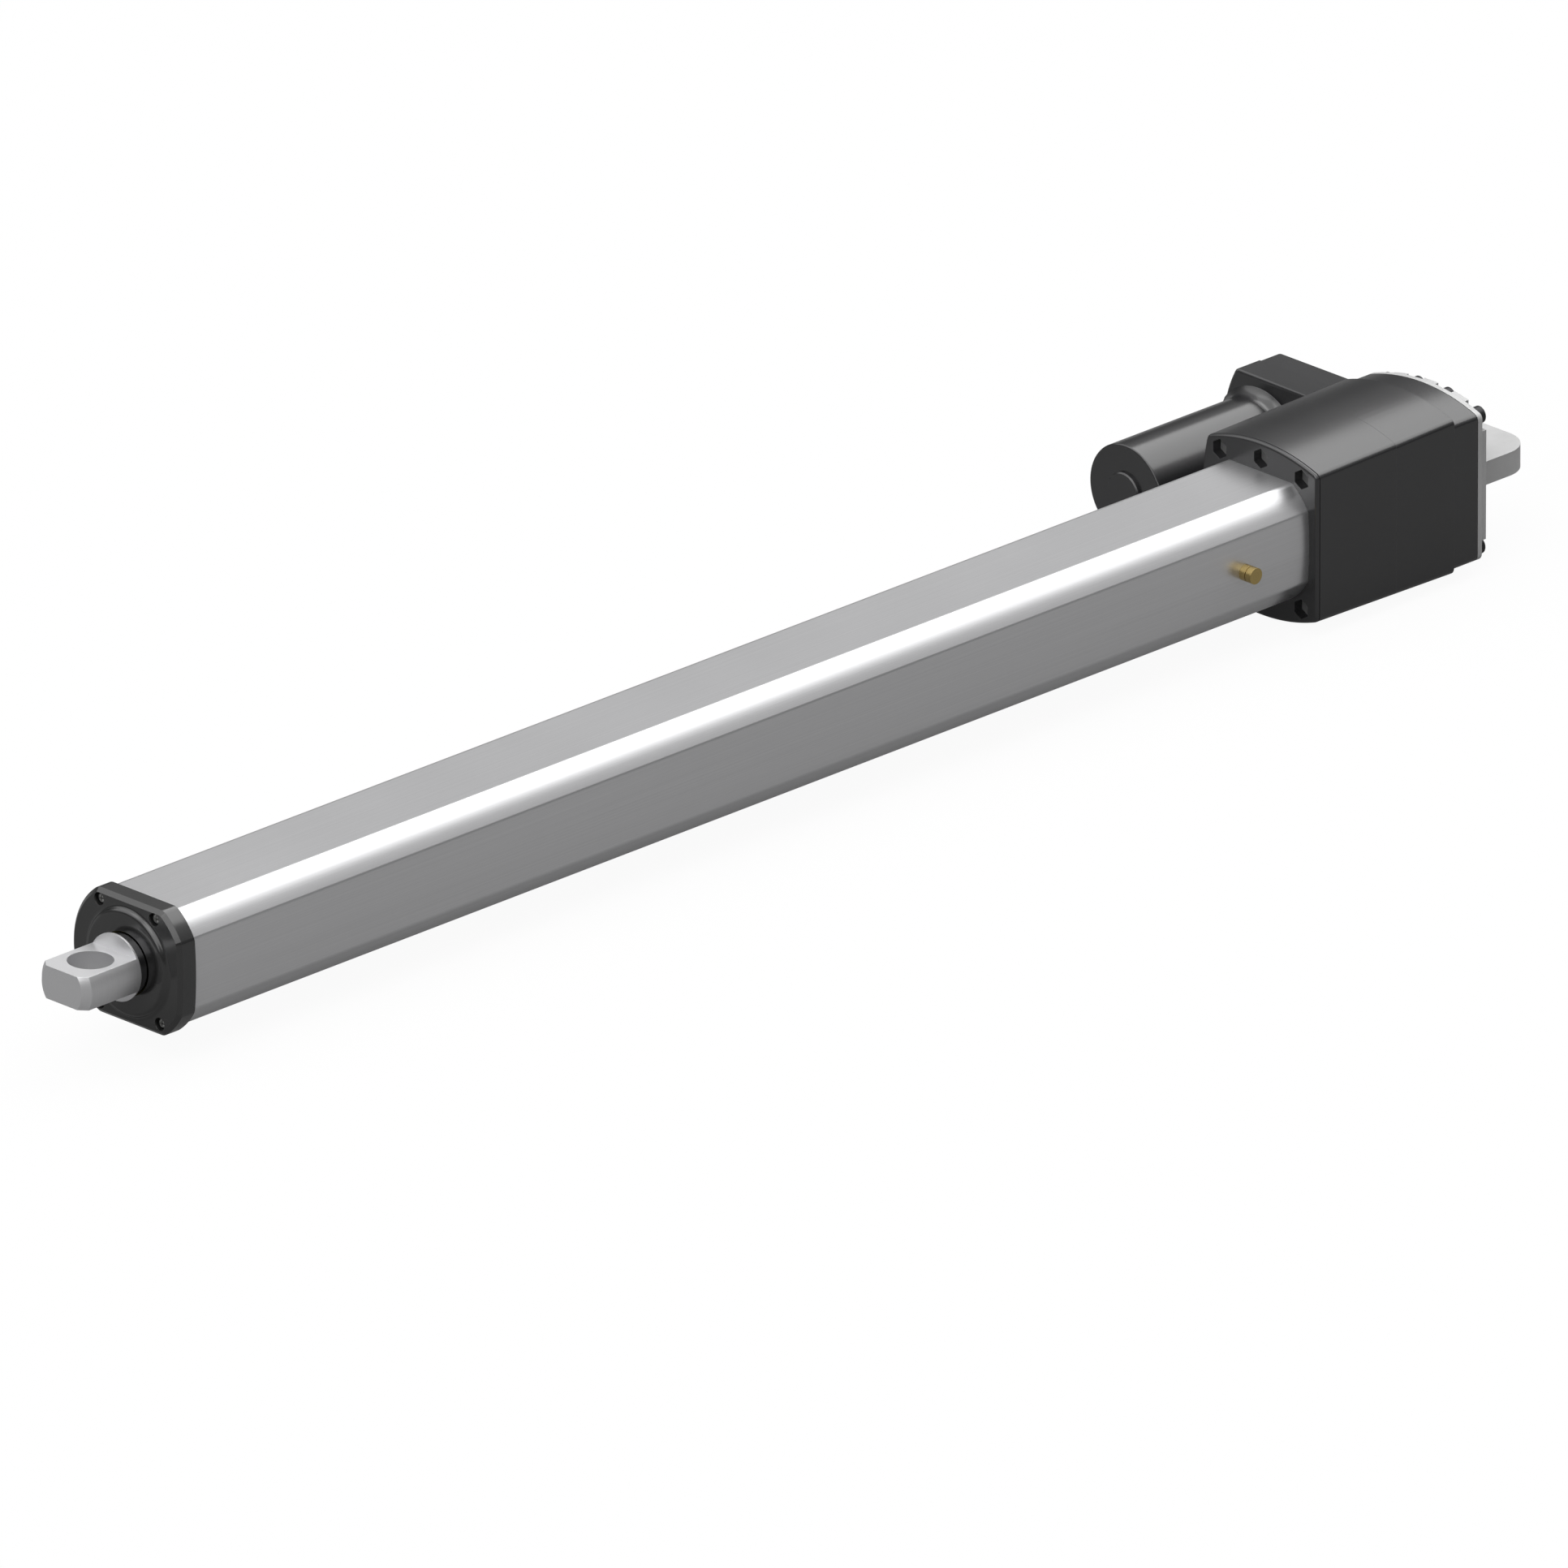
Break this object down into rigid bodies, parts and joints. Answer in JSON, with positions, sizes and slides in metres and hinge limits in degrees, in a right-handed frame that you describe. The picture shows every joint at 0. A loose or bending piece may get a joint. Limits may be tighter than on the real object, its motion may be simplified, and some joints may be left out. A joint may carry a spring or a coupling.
{
  "type": "solar tracker linear actuator",
  "caption": "Electric linear actuator: a motor and gears turn a screw that slides a rod with a pinned end out of a long tube, for tilting a solar panel table.",
  "frame": {"origin": "centre of the rear tang's pin hole, on the screw's axis", "axes": "+X along the rod the way it extends, +Z along both pin holes, the motor on the -Y side"},
  "size_m": [1.0874, 0.1726, 0.1046],
  "materials": {
    "plate_alloy": "bead-blasted cast plate, light grey",
    "gasket": "thin black sheet gasket",
    "black_screws": "black oxide socket screws",
    "black_casting": "semi-gloss black coat on cast aluminium",
    "anodised_tube": "clear anodised satin extrusion",
    "zinc_screws": "bright zinc plate",
    "brass": "turned brass",
    "cap_black": "satin black coat",
    "seal_rubber": "matt black rubber",
    "bearing_polymer": "off-white bearing plastic",
    "wiper_polymer": "olive yellow wiper plastic",
    "polished_rod": "polished steel tube",
    "machined_steel": "fine turned steel",
    "bronze": "cast bronze, machined",
    "screw_steel": "rolled thread, oiled steel",
    "gear_steel": "hobbed steel",
    "bearing_steel": "ground bearing steel",
    "magnet": "dark grey sintered magnet",
    "circuit": "green circuit board",
    "motor_steel": "zinc-plated pressed steel",
    "carbon": "pressed carbon",
    "copper": "bare and lacquered copper",
    "painted_cover": "semi-gloss black coat on drawn steel",
    "gland_plastic": "black moulded plastic"
  },
  "bodies": {
    "housing": {"rear_plate": "plate_alloy", "rear_gasket": "gasket", "rear_screws": "black_screws", "gear_cover": "black_casting", "main_housing": "black_casting", "flange_housing": "black_casting", "flange_screws": "black_screws", "flange_plugs": "gland_plastic", "barrel": "anodised_tube", "barrel_screws": "zinc_screws", "grease_nipple": "brass", "front_cap": "cap_black", "front_cap_screws": "zinc_screws", "cap_seal": "seal_rubber", "rod_guide": "bearing_polymer", "rod_wiper": "wiper_polymer", "bearing_outer_rings": "bearing_steel", "sensor_circuit": "circuit", "idler_bushes": "bronze", "motor_can": "motor_steel", "motor_end_plate": "motor_steel", "motor_brush_cap": "cap_black", "motor_bushes": "bronze", "motor_magnets": "magnet", "motor_brushes": "carbon", "motor_cover": "painted_cover", "cover_plug": "painted_cover", "motor_seal": "seal_rubber", "gland_body": "gland_plastic", "gland_nut": "gland_plastic", "gland_seal": "seal_rubber"},
    "rod": {"rod_tube": "polished_rod", "rod_end": "machined_steel", "drive_nut": "bronze", "guide_ring": "bearing_polymer", "guide_retainer": "machined_steel"},
    "screw": {"lead_screw": "screw_steel", "screw_tip_bush": "bearing_polymer", "screw_gear": "gear_steel", "gear_lock_nut": "machined_steel", "bearing_spacer": "machined_steel", "bearing_inner_rings": "bearing_steel", "sensor_magnet": "magnet"},
    "idler": {"idler_shaft": "machined_steel", "idler_gear": "gear_steel", "idler_pinion": "gear_steel"},
    "rotor": {"motor_shaft": "machined_steel", "motor_pinion": "gear_steel", "armature_core": "motor_steel", "armature_windings": "copper", "commutator": "copper"}
  },
  "joints": [
    {"name": "rotor_spin", "type": "hinge", "parent": "housing", "child": "rotor", "pos_m": [0.1, -0.08825, 0], "axis": [-1, 0, 0], "range_deg": [0, 372601]},
    {"name": "idler_spin", "type": "hinge", "parent": "housing", "child": "idler", "pos_m": [0.045, -0.05075, 0], "axis": [-1, 0, 0], "range_deg": [-113401, 0]},
    {"name": "screw_spin", "type": "hinge", "parent": "housing", "child": "screw", "pos_m": [0.04, 0, 0], "axis": [-1, 0, 0], "range_deg": [0, 43201]},
    {"name": "rod_slide", "type": "slide", "parent": "housing", "child": "rod", "axis": [1, 0, 0], "range_m": [0, 0.6]}
  ],
  "couplings": [
    {"joint": "screw_spin", "follows": "rod_slide", "rad_per_m": 1256.6},
    {"joint": "idler_spin", "follows": "rod_slide", "rad_per_m": -3298.7},
    {"joint": "rotor_spin", "follows": "rod_slide", "rad_per_m": 10838}
  ]
}
